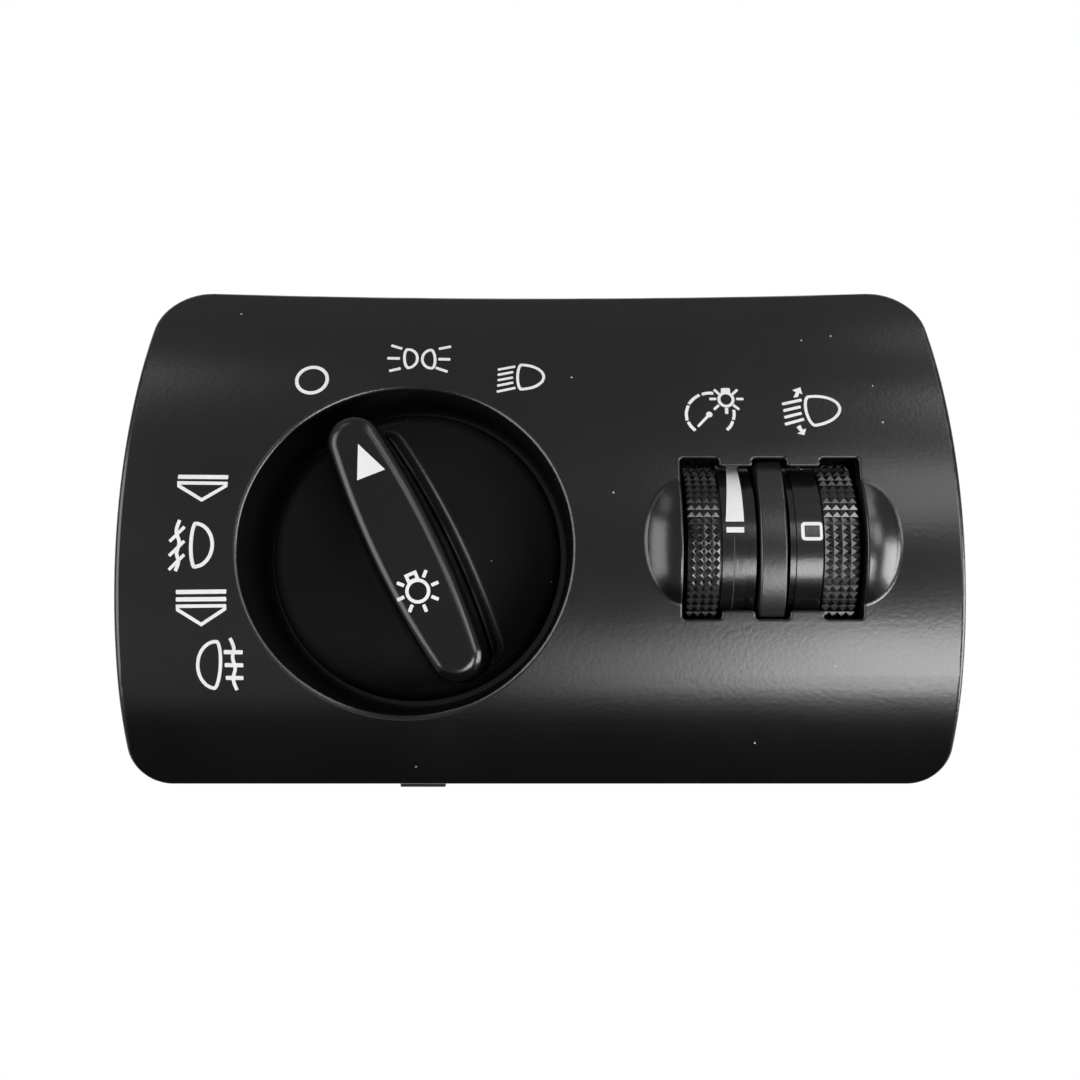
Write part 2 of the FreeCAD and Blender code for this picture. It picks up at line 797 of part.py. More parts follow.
# Ring of four-sided pyramids round the wheel's axis, from x0 to x1
def knurl_ring(x0, x1):
    root = wheel_radius - knurl_depth
    bore = rim_radius + 0.4
    step = 2 * math.pi / knurl_rows
    run = (x1 - x0) / knurl_columns

    def spot(x, radius, turn):
        return V(x, wheel_y - radius * math.cos(turn), wheel_z + radius * math.sin(turn))

    faces = []
    for row in range(knurl_rows):
        low = (row - 0.5) * step
        high = (row + 0.5) * step
        for column in range(knurl_columns):
            left = x0 + column * run
            right = left + run
            peak = spot((left + right) / 2, wheel_radius, row * step)
            corners = [spot(left, root, low), spot(right, root, low),
                       spot(right, root, high), spot(left, root, high)]
            for k in range(4):
                a = corners[k]
                b = corners[(k + 1) % 4]
                faces.append(Part.Face(Part.makePolygon([a, b, peak, a])))
    for x in (x0, x1):
        outer = [spot(x, root, (row - 0.5) * step) for row in range(knurl_rows)]
        outer.append(outer[0])
        hole = Part.Wire(Part.makeCircle(bore, V(x, wheel_y, wheel_z), V(1, 0, 0)))
        faces.append(Part.Face(Part.makePolygon(outer)).cut(Part.Face(hole)).Faces[0])
    sleeve = cylinder_x(wheel_y, wheel_z, bore, x0, x1)
    faces += [f for f in sleeve.Faces if isinstance(f.Surface, Part.Cylinder)]
    shell = Part.Shell(faces)
    shell.sewShape()
    ring = Part.Solid(Part.Shell(shell.Faces))
    if ring.Volume < 0:
        ring.reverse()
    return ring


# side is -1 for the left wheel and 1 for the right one
def make_wheel(side, flange_width, band_run):
    knurl_start = inner_half + flange_width + band_run

    def at(offset):
        return wheels_x + side * offset

    band = wheel_radius - band_step
    flange = wheel_radius - flange_step
    core = wheel_radius - knurl_depth - 0.6
    rim = [
        V(at(inner_half), 0, rim_radius), V(at(inner_half), 0, flange),
        V(at(inner_half + flange_width), 0, flange), V(at(inner_half + flange_width), 0, band),
        V(at(knurl_start - 0.35), 0, band), V(at(knurl_start - 0.35), 0, core),
        V(at(outer_half - 0.2), 0, core), V(at(outer_half - 0.2), 0, rim_radius),
        V(at(web_offset + web_thickness), 0, rim_radius), V(at(web_offset + web_thickness), 0, hub_radius),
        V(at(outer_half - 3.0), 0, hub_radius), V(at(outer_half - 3.0), 0, axle_radius + fit),
        V(at(inner_half), 0, axle_radius + fit), V(at(inner_half), 0, hub_radius),
        V(at(web_offset), 0, hub_radius), V(at(web_offset), 0, rim_radius),
    ]
    wheel = Part.Face(Part.makePolygon(rim + [rim[0]]))
    wheel.translate(V(0, wheel_y, wheel_z))
    wheel = wheel.revolve(V(0, wheel_y, wheel_z), V(1, 0, 0), 360)
    ends = sorted((at(knurl_start), at(outer_half)))
    return wheel.fuse(knurl_ring(ends[0], ends[1]))


def make_wiper(side):
    start = web_offset + web_thickness
    reach = cheek_inner - track_depth - running_gap

    def span(a, b):
        return sorted((wheels_x + side * a, wheels_x + side * b))

    x0, x1 = span(start, start + strip)
    ring = cylinder_x(wheel_y, wheel_z, track_radius + finger_width / 2, x0, x1)
    ring = ring.cut(cylinder_x(wheel_y, wheel_z, hub_radius + fit, x0, x1))
    x0, x1 = span(start, reach)
    half = finger_width / 2
    for side_z in (-1, 1):
        z = wheel_z + side_z * (track_radius - finger_reach)
        ring = ring.fuse(box(x0, x1, wheel_y - half, wheel_y + half, z - half, z + half))
    return ring


def make_track(side):
    ends = sorted((wheels_x + side * (cheek_inner - track_depth), wheels_x + side * cheek_inner))
    disc = cylinder_x(wheel_y, wheel_z, track_radius, ends[0], ends[1])
    return disc.cut(cylinder_x(wheel_y, wheel_z, axle_radius + 0.4, ends[0], ends[1]))


def make_bridge():
    half = bridge_width / 2
    front = wheel_y - wheel_radius + 0.1
    disc = cylinder_x(front + bridge_radius, wheel_z, bridge_radius, wheels_x - half, wheels_x + half)
    rims = [e for e in disc.Edges if isinstance(e.Curve, Part.Circle)]
    disc = disc.makeFillet(0.4, rims)
    disc = disc.common(box(wheels_x - half, wheels_x + half, front, carrier_y,
                           window_bottom + bridge_tip, window_top - bridge_tip))
    reach = carrier_half_height - carrier_plate
    foot = box(wheels_x - half, wheels_x + half, carrier_y - carrier_plate, carrier_y,
               wheel_z - reach, wheel_z + reach)
    bridge = disc.fuse(foot)
    return bridge.cut(cylinder_x(wheel_y, wheel_z, axle_radius + fit, wheels_x - half, wheels_x + half))


def make_carrier():
    reach = cheek_outer + carrier_side
    plate = box(wheels_x - reach, wheels_x + reach, carrier_y, housing_y,
                wheel_z - carrier_half_height, wheel_z + carrier_half_height)
    plate = plate.cut(box(wheels_x - cheek_inner, wheels_x + cheek_inner, carrier_y, housing_y,
                          wheel_z - carrier_open, wheel_z + carrier_open))
    for side in (-1, 1):
        ends = sorted((wheels_x + side * cheek_inner, wheels_x + side * cheek_outer))
        half = boss_radius * 1.8
        head = cylinder_x(wheel_y, wheel_z, boss_radius, ends[0], ends[1])
        rise = prism([V(ends[0], carrier_y, wheel_z - half),
                      V(ends[0], carrier_y, wheel_z + half),
                      V(ends[0], wheel_y, wheel_z + boss_radius),
                      V(ends[0], wheel_y, wheel_z - boss_radius)],
                     V(cheek, 0, 0))
        plate = plate.fuse(head).fuse(rise)
    return plate.cut(cylinder_x(wheel_y, wheel_z, axle_radius + fit,
                                wheels_x - reach, wheels_x + reach))


def make_axle():
    reach = cheek_outer + 0.4
    rod = cylinder_x(wheel_y, wheel_z, axle_radius, wheels_x - reach, wheels_x + reach)
    rims = [e for e in rod.Edges if isinstance(e.Curve, Part.Circle)]
    return rod.makeChamfer(0.3, rims)


os.makedirs("parts", exist_ok=True)
save(make_panel(), "face_panel")
save(make_housing(), "switch_housing")
save(make_cover(), "rear_cover")
save(make_board(), "circuit_board")
save(make_blades(), "connector_blades")
save(make_panel_screws(), "panel_screws")
save(make_cover_screws(), "cover_screws")
save(make_side_springs(), "side_springs")
save(make_dial(), "knob_dial")
save(make_grip(), "knob_grip")
save(make_spindle(), "knob_spindle")
save(make_clip(), "spindle_clip")
save(make_rotor(), "detent_rotor")
save(make_rotor_contacts(), "rotor_contacts")
save(make_detent_roller(), "detent_roller")
save(make_detent_leaf(), "detent_leaf")
save(make_contact_base(), "contact_base")
save(make_contact_tracks(), "contact_tracks")
save(make_slider(), "pull_slider")
save(make_slider_contacts(), "slider_contacts")
save(make_pull_track(), "pull_track")
save(make_wheel(-1, dimmer_flange, dimmer_band), "dimmer_wheel")
save(make_wheel(1, wheel_flange, band_width), "levelling_wheel")
save(make_wiper(-1), "dimmer_wiper")
save(make_wiper(1), "levelling_wiper")
save(make_track(-1), "dimmer_track")
save(make_track(1), "levelling_track")
save(make_bridge(), "wheel_bridge")
save(make_carrier(), "wheel_carrier")
save(make_axle(), "wheel_axle")
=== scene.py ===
import json
import math

import bmesh
import bpy
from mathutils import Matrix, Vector


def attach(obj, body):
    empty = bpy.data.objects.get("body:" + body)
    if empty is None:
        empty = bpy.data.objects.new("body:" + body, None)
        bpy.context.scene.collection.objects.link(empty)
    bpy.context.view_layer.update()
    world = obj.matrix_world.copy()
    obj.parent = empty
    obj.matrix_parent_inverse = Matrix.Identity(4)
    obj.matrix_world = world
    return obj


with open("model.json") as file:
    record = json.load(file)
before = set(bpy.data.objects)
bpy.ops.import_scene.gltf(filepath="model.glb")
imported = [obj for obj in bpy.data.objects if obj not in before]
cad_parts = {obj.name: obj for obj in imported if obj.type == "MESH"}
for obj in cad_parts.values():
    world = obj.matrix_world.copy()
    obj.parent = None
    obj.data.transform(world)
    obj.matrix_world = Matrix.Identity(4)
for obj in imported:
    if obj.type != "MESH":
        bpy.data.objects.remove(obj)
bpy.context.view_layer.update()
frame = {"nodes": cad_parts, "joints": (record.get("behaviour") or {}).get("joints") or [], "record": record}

MM = 0.001


# A joint's place in millimetres, as the record gives it
def joint_place(name):
    joint = next(row for row in frame["joints"] if row["name"] == name)
    return tuple(value / MM for value in joint["pos_m"])


# Sizes and places in millimetres, angles in degrees
KNOB_X, _, KNOB_Z = joint_place("knob_turn")
_, WHEEL_Y, WHEEL_Z = joint_place("dimmer_turn")

# Flat shapes are drawn on a plane before the object, then laid on it
DRAWING_PLANE = -32.0
UPRIGHT = math.radians(90)
CORNER_SHARE = 0.18
OVAL_CORNERS = 48
SMOOTH_ANGLE = 30.0

# Thickness of the ink, and of the second layer where strokes cross, and the gap below both
INK = 0.035
CROSSING_INK = 0.043
LIFT = 0.012

# How far the grip and the lamp sign on it lean at rest, and the reach of the grip's collar
GRIP_TURN = -26.2
SIGN_TURN = -23.6
COLLAR_REACH = 8.8
COLLAR_FADE = 1.0

# Print on the thumbwheels: the 0 stands a little above the axle, and the next figures a step apart
BAND_RADIUS = 14.05
FIGURE_STEP = 55.0
FIGURE_ANGLE = 7.4
FIGURE_X = 39.93
FIGURE_SIZE = 3.6
FIGURE_WEIGHT = 0.03
STRIP_STEP = 3.0

CAMERA_SPOT = (0.0, -206.34, -17.82)
CAMERA_TILT = 94.9
LENS = 40.7
SENSOR = 36.0

# Shading: the span that a noise mostly fills, the whole span, and tones and scales of the finishes
NOISE_SPAN = (0.3, 0.7)
FULL = (0.0, 1.0)
DUST_TONE = (0.42, 0.41, 0.39)
DUST_DULLING = 0.4
RUBBED_BLACK = (0.03, 0.03, 0.031)
METAL_GRAIN = 700.0

# A margin in metres by which a point counts as beyond a line
NEAR = 1e-7

# Stage and lamps, in metres; a glow or light is the brightness of the surface itself
FLOOR_SIZE = 1.24
FLOOR_HEIGHT = -0.6
FLOOR_TONE = 0.04
FLOOR_SHARE = 0.92
FLOOR_GLOW = 1.1
ROOM_LIGHT = 0.232
BACK_LIGHT = 0.9
BACK_STARTS, BACK_FULL = 0.35, 0.65
LIT_SPOT = Vector((0.0, -0.02, -0.003))
BOX_DISTANCE = 1.5


def place_camera():
    data = bpy.data.cameras.new("catalogue_camera")
    data.lens = LENS
    data.sensor_width = SENSOR
    data.clip_start = 0.01
    data.clip_end = 20.0
    camera = bpy.data.objects.new("catalogue_camera", data)
    bpy.context.scene.collection.objects.link(camera)
    camera.location = Vector(CAMERA_SPOT) * MM
    camera.rotation_euler = (math.radians(CAMERA_TILT), 0.0, 0.0)
    bpy.context.scene.camera = camera


place_camera()


# Nodes: each input is fed by a number, a colour or another node's output
def put(tree, kind, x, y, feeds=None, **settings):
    node = tree.nodes.new(kind)
    node.location = (x, y)
    for key, value in settings.items():
        setattr(node, key, value)
    for label, feed in (feeds or {}).items():
        if isinstance(feed, bpy.types.NodeSocket):
            tree.links.new(feed, node.inputs[label])
        else:
            node.inputs[label].default_value = feed
    return node


def maths(tree, operation, first, second, x, y, **settings):
    node = put(tree, "ShaderNodeMath", x, y, {0: first, 1: second}, operation=operation, **settings)
    return node.outputs["Value"]


def dot_product(tree, first, second, x, y):
    node = put(tree, "ShaderNodeVectorMath", x, y, {0: first, 1: second}, operation="DOT_PRODUCT")
    return node.outputs["Value"]


# Carries a value from one span over to another, held at both ends
def remap(tree, value, span, result, x, y):
    feeds = {"Value": value, "From Min": span[0], "From Max": span[1],
             "To Min": result[0], "To Max": result[1]}
    return put(tree, "ShaderNodeMapRange", x, y, feeds).outputs["Result"]


# The object coordinates that the finishes read
def object_place(tree, x, y):
    return put(tree, "ShaderNodeTexCoord", x, y).outputs["Object"]


# A shared effect with number inputs and outputs; its two end nodes come with it
def new_group(name, inputs, outputs):
    group = bpy.data.node_groups.new(name, "ShaderNodeTree")
    for label, value in inputs.items():
        entry = group.interface.new_socket(name=label, in_out="INPUT", socket_type="NodeSocketFloat")
        entry.default_value = value
    for label in outputs:
        group.interface.new_socket(name=label, in_out="OUTPUT", socket_type="NodeSocketFloat")
    return group, put(group, "NodeGroupInput", -900, 0).outputs, put(group, "NodeGroupOutput", 600, 0).inputs


# Fine grain left by the mould or the spray: a height and a slow drift of tone
def make_grain_group():
    group, given, result = new_group(
        "surface_grain", {"Grain Scale": 900.0, "Drift Scale": 60.0, "Detail": 4.0}, ["Height", "Drift"])
    place = object_place(group, -700, -200)
    for scale, label, y in (("Grain Scale", "Height", 150), ("Drift Scale", "Drift", -200)):
        feeds = {"Vector": place, "Scale": given[scale], "Detail": given["Detail"]}
        noise = put(group, "ShaderNodeTexNoise", -400, y, feeds)
        group.links.new(noise.outputs["Fac"], result[label])
    return group


# Rubbed corners, and on the dial's collar edge a painted highlight: where the surface turns within a small
# radius, broken up by a noise
def make_rub_group():
    corner_starts, corner_full = 0.995, 0.86
    patch_starts, patch_full = 0.42, 0.62
    group, given, result = new_group("rubbed_and_highlit_edges", {"Radius": 0.0004, "Breakup Scale": 400.0}, ["Mask"])
    surface = put(group, "ShaderNodeNewGeometry", -700, 200)
    bevel = put(group, "ShaderNodeBevel", -700, 0, {"Radius": given["Radius"]}, samples=4)
    turn = dot_product(group, surface.outputs["Normal"], bevel.outputs["Normal"], -450, 100)
    corner = remap(group, turn, (corner_starts, corner_full), FULL, -250, 100)
    patches = put(group, "ShaderNodeTexNoise", -450, -250, {
        "Vector": object_place(group, -700, -300), "Scale": given["Breakup Scale"], "Detail": 3.0})
    gate = remap(group, patches.outputs["Fac"], (patch_starts, patch_full), FULL, -250, -200)
    group.links.new(maths(group, "MULTIPLY", corner, gate, 100, 0), result["Mask"])
    return group


# A few pale dust specks, in loose clouds
def make_dust_group():
    group, given, result = new_group(
        "dust_specks", {"Speck Scale": 260.0, "Speck Size": 0.05, "Spread": 0.62}, ["Mask"])
    place = object_place(group, -900, -200)
    cells = put(group, "ShaderNodeTexVoronoi", -600, 100, {"Vector": place, "Scale": given["Speck Scale"]})
    clouds = put(group, "ShaderNodeTexNoise", -600, -250, {"Vector": place, "Scale": 38.0, "Detail": 5.0})
    near = maths(group, "LESS_THAN", cells.outputs["Distance"], given["Speck Size"], -350, 150)
    here = maths(group, "GREATER_THAN", clouds.outputs["Fac"], given["Spread"], -350, -150)
    group.links.new(maths(group, "MULTIPLY", near, here, 0, 0), result["Mask"])
    return group


# Long fine lines left by rolling or drawing
def make_line_group():
    group, given, result = new_group("drawn_lines", {"Line Scale": 90.0, "Stretch": 30.0}, ["Height"])
    split = put(group, "ShaderNodeSeparateXYZ", -700, 0, {"Vector": object_place(group, -900, 0)}).outputs
    wide = maths(group, "MULTIPLY", split["Y"], given["Stretch"], -500, 0)
    merge = put(group, "ShaderNodeCombineXYZ", -300, 0, {"X": split["X"], "Y": wide, "Z": split["Z"]})
    lines = put(group, "ShaderNodeTexNoise", -100, 0, {
        "Vector": merge.outputs["Vector"], "Scale": given["Line Scale"], "Detail": 3.0})
    group.links.new(lines.outputs["Fac"], result["Height"])
    return group


GRAIN = make_grain_group()
RUB_AND_HIGHLIGHT = make_rub_group()
DUST = make_dust_group()
LINES = make_line_group()


class Finish:
    """One material with a shader of its own, to which the shared effects are wired."""

    def __init__(self, name, sockets=None):
        self.material = bpy.data.materials.new(name)
        self.material.use_nodes = True
        self.tree = self.material.node_tree
        self.shader = next(n for n in self.tree.nodes if n.bl_idname == "ShaderNodeBsdfPrincipled")
        for label, value in (sockets or {}).items():
            self.shader.inputs[label].default_value = value

    # The outputs of a shared effect that is given its own values
    def effect(self, group, x, y, values):
        return put(self.tree, "ShaderNodeGroup", x, y, values, node_tree=group).outputs

    # Lays one colour over another where the mask is 1; each is a tone or an output
    def cover(self, mask, under, over, x, y):
        feeds = {"Factor": mask}
        for label, colour in (("A", under), ("B", over)):
            feeds[label] = colour if isinstance(colour, bpy.types.NodeSocket) else (*colour, 1.0)
        return put(self.tree, "ShaderNodeMix", x, y, feeds, data_type="RGBA").outputs["Result"]

    # Two close tones that drift into each other
    def two_tones(self, drift, dark, light):
        mask = remap(self.tree, drift, NOISE_SPAN, FULL, -850, 300)
        return self.cover(mask, dark, light, -600, 300)

    def dust(self, scale, size, spread):
        values = {"Speck Scale": scale, "Speck Size": size, "Spread": spread}
        return self.effect(DUST, -1100, -550, values)["Mask"]

    def bump(self, height, strength, depth):
        feeds = {"Height": height, "Strength": strength, "Distance": depth * MM}
        self.feed("Normal", put(self.tree, "ShaderNodeBump", -250, -400, feeds).outputs["Normal"])

    def feed(self, label, value):
        self.tree.links.new(value, self.shader.inputs[label])


# Plastic: two close tones drifting, grain, rubbed corners and, where asked, dust.
# A rub is a radius and a tone, a bump a strength and a depth, and dust a scale, a size and a spread.
def plastic(name, dark, light, roughness, grain, bump, rub, dust=None, sockets=None):
    finish = Finish(name, sockets)
    surface = finish.effect(GRAIN, -1100, 0, {"Grain Scale": grain})
    rounded_edges = finish.effect(RUB_AND_HIGHLIGHT, -1100, -300, {"Radius": rub[0] * MM})
    colour = finish.cover(rounded_edges["Mask"], finish.two_tones(surface["Drift"], dark, light), rub[1], -350, 300)
    rough = remap(finish.tree, surface["Drift"], NOISE_SPAN, roughness, -850, 0)
    if dust:
        specks = finish.dust(*dust)
        colour = finish.cover(specks, colour, DUST_TONE, -120, 300)
        dull = remap(finish.tree, specks, FULL, (0.0, DUST_DULLING), -600, -550)
        rough = maths(finish.tree, "ADD", rough, dull, -350, -100, use_clamp=True)
    finish.feed("Base Color", colour)
    finish.feed("Roughness", rough)
    finish.bump(surface["Height"], *bump)
    return finish.material


# Metal: lines from rolling or drawing, slight stain and brighter corners
def metal(name, dark, light, roughness, lines, bump, rub):
    finish = Finish(name, {"Metallic": 1.0})
    surface = finish.effect(GRAIN, -1100, 0, {"Grain Scale": METAL_GRAIN})
    rolled = finish.effect(LINES, -1100, -300, {"Line Scale": lines})
    rounded_edges = finish.effect(RUB_AND_HIGHLIGHT, -1100, -550, {"Radius": rub[0] * MM})
    colour = finish.two_tones(surface["Drift"], dark, light)
    finish.feed("Base Color", finish.cover(rounded_edges["Mask"], colour, rub[1], -350, 300))
    finish.feed("Roughness", remap(finish.tree, rolled["Height"], NOISE_SPAN, roughness, -600, 0))
    finish.bump(rolled["Height"], *bump)
    return finish.material


PANEL_PAINT = plastic(
    "panel_satin_black", dark=(0.0020, 0.0020, 0.0022), light=(0.0030, 0.0030, 0.0032),
    roughness=(0.215, 0.25), grain=1500.0, bump=(0.4, 0.04), rub=(0.3, RUBBED_BLACK),
    dust=(300.0, 0.05, 0.54), sockets={"Specular IOR Level": 0.875})
GRIP_PLASTIC = plastic(
    "grip_satin_black", dark=(0.0025, 0.0025, 0.0027), light=(0.0035, 0.0035, 0.0037),
    roughness=(0.19, 0.235), grain=1700.0, bump=(0.22, 0.03), rub=(0.4, RUBBED_BLACK),
    dust=(320.0, 0.05, 0.58), sockets={"Specular IOR Level": 0.69})
WHEEL_PLASTIC = plastic(
    "wheel_semigloss_black", dark=(0.0038, 0.0038, 0.0040), light=(0.0060, 0.0060, 0.0062),
    roughness=(0.16, 0.21), grain=1600.0, bump=(0.4, 0.03), rub=(0.15, RUBBED_BLACK),
    dust=(340.0, 0.05, 0.56), sockets={"Specular IOR Level": 0.94})
BRIDGE_PLASTIC = plastic(
    "bridge_satin_black", dark=(0.0075, 0.0075, 0.0077), light=(0.0106, 0.0106, 0.0109),
    roughness=(0.25, 0.31), grain=1500.0, bump=(0.5, 0.04), rub=(0.25, (0.05, 0.05, 0.051)),
    dust=(300.0, 0.055, 0.54), sockets={"Specular IOR Level": 0.875})
HOUSING_PLASTIC = plastic(
    "housing_moulded_black", dark=(0.020, 0.020, 0.021), light=(0.030, 0.030, 0.031), roughness=(0.48, 0.62),
    grain=1100.0, bump=(0.5, 0.06), rub=(0.4, (0.07, 0.07, 0.072)))
COVER_PLASTIC = plastic(
    "cover_moulded_grey", dark=(0.060, 0.061, 0.065), light=(0.082, 0.083, 0.087), roughness=(0.48, 0.6),
    grain=1100.0, bump=(0.5, 0.06), rub=(0.4, (0.14, 0.14, 0.145)))
NYLON = plastic(
    "natural_nylon", dark=(0.62, 0.59, 0.52), light=(0.72, 0.70, 0.64), roughness=(0.42, 0.52), grain=900.0,
    bump=(0.2, 0.04), rub=(0.3, (0.80, 0.78, 0.73)),
    sockets={"Subsurface Weight": 0.15, "Subsurface Radius": (0.002, 0.0015, 0.001)})
TRACK_BOARD = plastic(
    "resistor_board", dark=(0.030, 0.019, 0.012), light=(0.042, 0.027, 0.017), roughness=(0.38, 0.5),
    grain=1300.0, bump=(0.3, 0.03), rub=(0.2, (0.08, 0.055, 0.035)))
BRASS = metal(
    "contact_brass", dark=(0.60, 0.43, 0.19), light=(0.74, 0.57, 0.29), roughness=(0.24, 0.38), lines=120.0,
    bump=(0.12, 0.02), rub=(0.15, (0.82, 0.68, 0.4)))
ZINC = metal(
    "zinc_screw", dark=(0.44, 0.45, 0.46), light=(0.58, 0.58, 0.57), roughness=(0.28, 0.42), lines=150.0,
    bump=(0.15, 0.02), rub=(0.2, (0.72, 0.72, 0.71)))
SPRING = metal(
    "spring_steel", dark=(0.40, 0.40, 0.41), light=(0.52, 0.52, 0.53), roughness=(0.22, 0.36), lines=110.0,
    bump=(0.15, 0.02), rub=(0.2, (0.64, 0.64, 0.65)))


# Circuit board: green mask over copper tracks, seen as slightly raised paler lines
def make_board_finish():
    finish = Finish("board_green_mask")
    cells = put(finish.tree, "ShaderNodeTexVoronoi", -1400, 0, {
        "Vector": object_place(finish.tree, -1700, 0), "Scale": 170.0, "Randomness": 0.35},
        feature="DISTANCE_TO_EDGE", distance="CHEBYCHEV")
    track = remap(finish.tree, cells.outputs["Distance"], (0.05, 0.09), (1.0, 0.0), -1150, 0)
    surface = finish.effect(GRAIN, -1400, -400, {"Grain Scale": 1000.0})
    mask = finish.two_tones(surface["Drift"], (0.018, 0.105, 0.045), (0.026, 0.14, 0.06))
    finish.feed("Base Color", finish.cover(track, mask, (0.05, 0.22, 0.085), -400, 300))
    finish.feed("Roughness", remap(finish.tree, surface["Height"], NOISE_SPAN, (0.26, 0.36), -600, -100))
    finish.bump(track, strength=0.4, depth=0.03)
    return finish.material


BOARD_MASK = make_board_finish()


# 1 from just right of the grip's middle as far as the collar reaches, 0 elsewhere on the dial; it bounds the
# smoother finish and the painted highlight
def collar_mask(tree, place):
    turn = math.radians(GRIP_TURN)
    middle = (KNOB_X * math.cos(turn) - KNOB_Z * math.sin(turn)) * MM
    across = dot_product(tree, place, (math.cos(turn), 0.0, -math.sin(turn)), -1700, -700)
    offset = maths(tree, "SUBTRACT", across, middle, -1500, -700)
    fade = COLLAR_FADE * MM
    reach = COLLAR_REACH * MM
    inside = remap(tree, offset, (reach - fade, reach), (1.0, 0.0), -1300, -700)
    right = remap(tree, offset, (0.0, fade), FULL, -1300, -500)
    return maths(tree, "MULTIPLY", inside, right, -1100, -600)


# Dial: matte face, with the collar on the grip's right smoother, and a painted highlight along its edge: a
# paler colour where the lamps on the right catch it
def make_dial_finish():
    finish = Finish("dial_matte_black")
    tree = finish.tree
    where = put(tree, "ShaderNodeTexCoord", -1900, -700)
    collar = collar_mask(tree, where.outputs["Object"])
    facing = put(tree, "ShaderNodeSeparateXYZ", -1700, -950, {"Vector": where.outputs["Normal"]})
    faces_front, leans = -0.995, -0.95
    leaning = remap(tree, facing.outputs["Y"], (faces_front, leans), FULL, -1500, -950)
    smooth = maths(tree, "MULTIPLY", collar, leaning, -850, -700)
    rounded_edges = finish.effect(RUB_AND_HIGHLIGHT, -1400, -350, {"Radius": 0.3 * MM, "Breakup Scale": 200.0})
    painted_highlight = maths(tree, "MULTIPLY", rounded_edges["Mask"], collar, -850, -350)
    surface = finish.effect(GRAIN, -1400, 0, {"Grain Scale": 1900.0})
    base = finish.two_tones(surface["Drift"], (0.0106, 0.0106, 0.0110), (0.0144, 0.0144, 0.0148))
    # Painted highlight: the collar's rounded edge right of the grip is given a paler colour, standing in for
    # the light it catches
    base = finish.cover(painted_highlight, base, (0.09, 0.09, 0.092), -350, 300)
    specks = finish.dust(scale=330.0, size=0.04, spread=0.57)
    finish.feed("Base Color", finish.cover(specks, base, DUST_TONE, -120, 300))
    finish.feed("Roughness", remap(tree, smooth, FULL, (0.5, 0.22), -600, -100))
    finish.feed("Specular IOR Level", remap(tree, smooth, FULL, (0.1, 1.0), -600, -500))
    finish.bump(surface["Height"], strength=0.3, depth=0.03)
    return finish.material


DIAL_PLASTIC = make_dial_finish()


# Ink: a hair uneven in tone and thickness; the seam line on the dimmer's band is made the same way
def make_ink(name, dark, light, roughness):
    finish = Finish(name)
    surface = finish.effect(GRAIN, -1100, 0, {"Grain Scale": 1400.0, "Drift Scale": 300.0})
    finish.feed("Base Color", finish.two_tones(surface["Drift"], dark, light))
    finish.feed("Roughness", remap(finish.tree, surface["Drift"], NOISE_SPAN, roughness, -850, 0))
    finish.bump(surface["Height"], strength=0.3, depth=0.02)
    return finish.material


WHITE_INK = make_ink(
    "symbol_white_ink", dark=(0.74, 0.74, 0.73), light=(0.82, 0.82, 0.81), roughness=(0.45, 0.56))
SEAM_TONE = make_ink(
    "wheel_seam_line", dark=(0.045, 0.045, 0.046), light=(0.06, 0.06, 0.062), roughness=(0.30, 0.41))

FINISHES = {
    "panel_black": PANEL_PAINT,
    "dial_black": DIAL_PLASTIC,
    "grip_black": GRIP_PLASTIC,
    "wheel_black": WHEEL_PLASTIC,
    "housing_black": HOUSING_PLASTIC,
    "cover_grey": COVER_PLASTIC,
    "nylon_natural": NYLON,
    "board_green": BOARD_MASK,
    "track_brown": TRACK_BOARD,
    "contact_brass": BRASS,
    "screw_steel": ZINC,
    "spring_steel": SPRING,
}


# Each node gets its slot's finish; the bridge has one of its own
def dress_nodes():
    finishes = {row["node"]: FINISHES[row["material_slot"]] for row in frame["record"]["subparts"]}
    finishes["wheel_bridge"] = BRIDGE_PLASTIC
    for name, finish in finishes.items():
        for slot in frame["nodes"][name].material_slots:
            slot.material = finish


dress_nodes()


# Drawing tools
def deselect():
    bpy.ops.object.select_all(action="DESELECT")


def edit(piece, mode="FACE"):
    bpy.context.view_layer.objects.active = piece
    piece.select_set(True)
    bpy.ops.object.mode_set(mode="EDIT")
    bpy.ops.mesh.select_mode(type=mode)


def edit_all(piece, mode="FACE"):
    edit(piece, mode)
    bpy.ops.mesh.select_all(action="SELECT")


def leave():
    bpy.ops.object.mode_set(mode="OBJECT")


# Writes the place, turn and scale of what is selected into its mesh
def settle():
    bpy.ops.object.transform_apply(location=True, rotation=True, scale=True)


# Selects the vertices for which the test holds
def pick(piece, test):
    mesh = bmesh.from_edit_mesh(piece.data)
    for vertex in mesh.verts:
        vertex.select_set(test(vertex.co))
    mesh.select_flush_mode()
    bmesh.update_edit_mesh(piece.data)


# Turns over the faces for which the test holds
def flip(piece, test):
    edit(piece)
    mesh = bmesh.from_edit_mesh(piece.data)
    for face in mesh.faces:
        face.select_set(test(face))
    bmesh.update_edit_mesh(piece.data)
    bpy.ops.mesh.flip_normals()
    leave()


# Joins pieces into the first of them and leaves it selected
def unite(pieces):
    deselect()
    for piece in pieces:
        piece.select_set(True)
    bpy.context.view_layer.objects.active = pieces[0]
    if len(pieces) > 1:
        bpy.ops.object.join()
    return bpy.context.active_object


# Gives a flat shape its thickness, outwards
def thicken(piece, thickness):
    solid = piece.modifiers.new("ink", "SOLIDIFY")
    solid.thickness = thickness * MM
    solid.offset = 1.0
    bpy.ops.object.modifier_apply(modifier=solid.name)


# A point of the drawing plane in metres, from millimetres to the right and up
def sheet_point(point):
    return Vector((point[0], DRAWING_PLANE, point[1])) * MM


